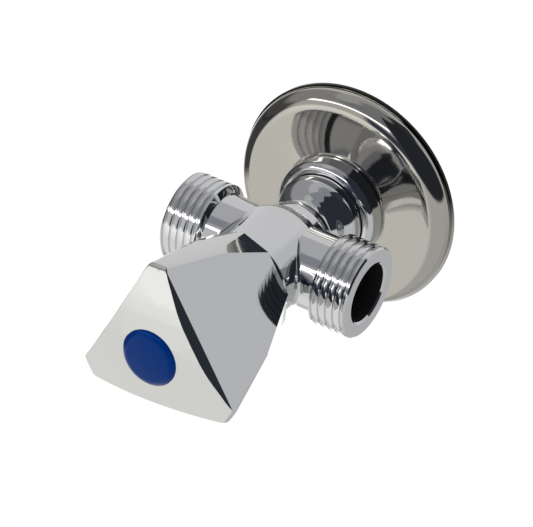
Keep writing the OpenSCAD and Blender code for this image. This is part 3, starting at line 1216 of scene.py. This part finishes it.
@dataclass
class Surroundings:
    """What reflections show, painted panel by panel on a tent and on the floor.

    Attributes:
        radius: Radius of the tent in metres.
        base: Radiance where no panel lies.
        panels: The panels from the rearmost to the foremost.
    """

    radius: float = 2
    base: Triple = (0.5, 0.5, 0.51)
    panels: tuple[Panel, ...] = (
        Panel(0, -45, 360, 90, (0.68, 0.68, 0.68), 2),
        Panel(62, -45, 76, 90, (0.57, 0.57, 0.58), 14),
        Panel(120, -50, 38, 70, (1.4, 1.4, 1.4), 10),
        Panel(-122, -45, 96, 90, (0.98, 0.98, 0.96), 24),
        Panel(-112, -7, 56, 26, (1.25, 1.25, 1.22), 26),
        Panel(98, 24, 100, 66, (0.77, 0.77, 0.78), 8),
        Panel(46, 8, 34, 60, (0.655, 0.665, 0.7), 12),
        Panel(183, 30, 76, 50, (0.38, 0.38, 0.39), 10),
        Panel(180, -5, 72, 32, (0.1, 0.1, 0.105), 10),
        Panel(184, -21, 58, 26, (0.03, 0.03, 0.035), 5),
        Panel(160, 61, 122, 20, (0.53, 0.53, 0.54), 6),
        Panel(0, 90, 360, 34, (0.3, 0.31, 0.33), 8),
        Panel(-100, 57, 80, 34, (0.29, 0.3, 0.33), 8),
        Panel(-124, 14, 52, 22, (0.68, 0.68, 0.68), 8),
        Panel(-22, 38, 112, 76, (0.03, 0.035, 0.045), 5),
        Panel(-90, 13, 30, 24, (0.06, 0.07, 0.11), 6),
        Panel(44, 61, 40, 34, (0.04, 0.045, 0.055), 5),
        Panel(-116, 31, 72, 5.5, (4, 4, 4.05), 4, 0.2),
    )

    def painted(self, graph: Graph, offset: Vector) -> Socket:
        """Works out a surface's colours from its direction from the valve.

        Args:
            graph: Material of the surface.
            offset: Place of the surface's origin as seen from the valve, in metres.

        Returns:
            The socket with the colour.
        """
        place = graph.add("TexCoord")["Object"]
        seen = graph.add("VectorMath", {0: place, 1: offset})["Vector"]
        unit = graph.add("VectorMath", {0: seen}, operation="NORMALIZE")["Vector"]
        x, y, z = graph.add("SeparateXYZ", {0: unit})
        azimuth = graph.maths("DEGREES", graph.maths("ARCTAN2", y, x))
        elevation = graph.maths("DEGREES", graph.maths("ARCSINE", z))
        colour = (*self.base, 1)
        for panel in self.panels:
            turn = graph.maths("SUBTRACT", azimuth, panel.azimuth)
            across = graph.maths("WRAP", turn, 180.0, -180.0)
            middle = graph.maths("MULTIPLY_ADD", across, panel.slant, panel.elevation)
            upward = graph.maths("ABSOLUTE", graph.maths("SUBTRACT", elevation, middle))
            inside = graph.falling(upward, panel.height / 2, panel.blur)
            if panel.width < 360:
                sideways = graph.maths("ABSOLUTE", across)
                beside = graph.falling(sideways, panel.width / 2, panel.blur)
                inside = graph.maths("MULTIPLY", inside, beside)
            colour = graph.mixed(inside, colour, (*panel.colour, 1))
        return colour

    def build(self, middle: Vector) -> Piece:
        """Adds the tent, which only glossy rays see.

        Args:
            middle: Its middle in metres.

        Returns:
            The tent.
        """
        nothing_picked()
        bpy.ops.mesh.primitive_uv_sphere_add(
            segments=64, ring_count=32, radius=self.radius, location=middle
        )
        tent = bpy.context.object
        tent.name = "light_tent"
        tent.visible_camera = False
        tent.visible_diffuse = False
        tent.visible_transmission = False
        tent.visible_shadow = False
        material = bpy.data.materials.new("light_tent")
        graph = Graph(material)
        glow = graph.add("Emission", {"Color": self.painted(graph, Vector())})["Emission"]
        graph.feed(graph.nodes["Material Output"], {"Surface": glow})
        material.cycles.emission_sampling = "NONE"
        dress(tent, material)
        return tent


@dataclass(frozen=True)
class SoftBox:
    """A square studio lamp for the matt surfaces. Reflections show the tent in its place.

    Attributes:
        name: Name of the lamp.
        azimuth: Direction from the valve in degrees, 0 along +X and 90 along +Y.
        elevation: Height above the horizon in degrees.
        distance: Distance from the valve in metres.
        width: Width in metres.
        strength: Radiance of its face.
    """

    name: str
    azimuth: float
    elevation: float
    distance: float
    width: float
    strength: float

    def build(self, target: Vector) -> Piece:
        """Adds the lamp, aimed at the valve.

        Args:
            target: Point that it is aimed at.

        Returns:
            The lamp.
        """
        nothing_picked()
        bpy.ops.object.light_add(type="AREA")
        lamp = bpy.context.object
        lamp.name = self.name
        lamp.data.size = self.width
        lamp.data.energy = self.strength * math.pi * self.width**2
        lamp.visible_camera = False
        lamp.visible_glossy = False
        a, e = math.radians(self.azimuth), math.radians(self.elevation)
        away = Vector((math.cos(a) * math.cos(e), math.sin(a) * math.cos(e), math.sin(e)))
        aim = away.to_track_quat("Z", "Y").to_matrix().to_4x4()
        lamp.matrix_world = Matrix.Translation(target + away * self.distance) @ aim
        return lamp


@dataclass
class Studio:
    """Floor, surroundings, lamps and camera.

    Attributes:
        target: Point of the part's axis that the camera looks at, in millimetres.
        azimuth: Camera's direction in degrees, 0 looking along +Y.
        elevation: Camera's height in degrees.
        roll: Camera's roll in degrees.
        distance: Distance from the target in millimetres.
        focal_px: Focal length in pixels of the photograph.
        shift_px: Shift of the picture in pixels.
        floor_z: Height of the floor in metres.
        floor_size: Length of its sides in metres.
        floor_grey: Colour of the floor where lamps light it.
        floor_white: Radiance of the floor's own glow for the camera.
        floor_glow: Share of that glow. The rest is the lit floor, which takes the shadow.
        room_grey: Light of the room on matt surfaces.
        softboxes: The lamps.
        surroundings: What reflections show.
    """

    target: Triple = (0, -35, 0)
    azimuth: float = 29.04
    elevation: float = 34.15
    roll: float = 5.86
    distance: float = 616.4
    focal_px: float = 2850.6
    shift_px: Point = (-0.53, 1.69)
    floor_z: float = -0.35
    floor_size: float = 16
    floor_grey: Triple = (0.8, 0.8, 0.8)
    floor_white: Triple = (1.06, 1.06, 1.06)
    floor_glow: float = 0.9
    room_grey: Triple = (0.62, 0.63, 0.65)
    softboxes: tuple[SoftBox, ...] = (
        SoftBox("key_light", -120, 35, 1.0, 0.5, 1.6),
        SoftBox("left_light", 165, 57, 1.2, 0.6, 1.2),
    )
    surroundings: Surroundings = field(default_factory=Surroundings)

    def camera(self) -> Piece:
        """Adds the camera at the photograph's viewing angle.

        Returns:
            The camera.
        """
        nothing_picked()
        bpy.ops.object.camera_add()
        camera = bpy.context.object
        a, e, r = (math.radians(v) for v in (self.azimuth, self.elevation, self.roll))
        back = Vector((math.sin(a) * math.cos(e), -math.cos(a) * math.cos(e), math.sin(e)))
        level = Vector((math.cos(a), math.sin(a), 0))
        upright = back.cross(level)
        right = level * math.cos(r) + upright * math.sin(r)
        up = upright * math.cos(r) - level * math.sin(r)
        turn = Matrix((right, up, back)).transposed().to_4x4()
        place = Vector(self.target) * MM + back * self.distance * MM
        camera.matrix_world = Matrix.Translation(place) @ turn
        camera.data.sensor_fit = "HORIZONTAL"
        camera.data.lens = self.focal_px / PHOTO_WIDTH * camera.data.sensor_width
        camera.data.shift_x = -self.shift_px[0] / PHOTO_WIDTH
        camera.data.shift_y = -self.shift_px[1] / PHOTO_WIDTH
        camera.data.clip_start = 0.05
        camera.data.clip_end = 50
        bpy.context.scene.camera = camera
        return camera

    def floor(self) -> Piece:
        """Adds the pale floor, plain white for the camera, with painted reflection panels for
        glossy rays.

        Returns:
            The floor.
        """
        nothing_picked()
        bpy.ops.mesh.primitive_plane_add(size=self.floor_size, location=(0, 0, self.floor_z))
        floor = bpy.context.object
        floor.name = "studio_floor"
        material = bpy.data.materials.new("studio_floor")
        graph = Graph(material)
        matt = {"Base Color": (*self.floor_grey, 1), "Roughness": 1, "Specular IOR Level": 0}
        paint = graph.feed(graph.nodes["Principled BSDF"], matt)["BSDF"]
        offset = floor.location - Vector(self.target) * MM
        # Painted reflections: glossy rays see the floor glow with the panels of the surroundings.
        painted_reflections = self.surroundings.painted(graph, offset)
        mirrored = graph.add("LightPath")["Is Glossy Ray"]
        backdrop = graph.mixed(mirrored, (*self.floor_white, 1), painted_reflections)
        glow = graph.add("Emission", {"Color": backdrop})["Emission"]
        share = graph.maths("MULTIPLY", graph.seen(), self.floor_glow)
        blend = graph.add("MixShader", {"Fac": share, 1: paint, 2: glow})["Shader"]
        graph.feed(graph.nodes["Material Output"], {"Surface": blend})
        dress(floor, material)
        return floor

    def world(self) -> None:
        """Sets the surroundings: plain grey light, seen as white."""
        world = bpy.data.worlds.new("studio_room")
        graph = Graph(world)
        colour = graph.mixed(graph.seen(), (*self.room_grey, 1), (1, 1, 1, 1))
        graph.feed(graph.nodes["Background"], {"Color": colour})
        bpy.context.scene.world = world

    def build(self) -> None:
        """Builds the studio round the valve."""
        self.camera()
        self.floor()
        self.world()
        self.surroundings.build(Vector(self.target) * MM)
        for softbox in self.softboxes:
            softbox.build(Vector(self.target) * MM)
        scene = bpy.context.scene
        scene.view_settings.view_transform = "Standard"


def main() -> None:
    """Builds the studio and every piece in order."""
    logging.basicConfig(level=logging.INFO, format="%(message)s")
    Studio().build()
    for sub_assembly in (ValveCasting(), WallRosette(), Knob(), IndexCap()):
        piece = sub_assembly.build()
        log.info("%s: %d faces", piece.name, len(piece.data.polygons))
    for piece in InnerWorks().build():
        log.info("%s: dressed", piece.name)


if __name__ == "__main__":
    main()
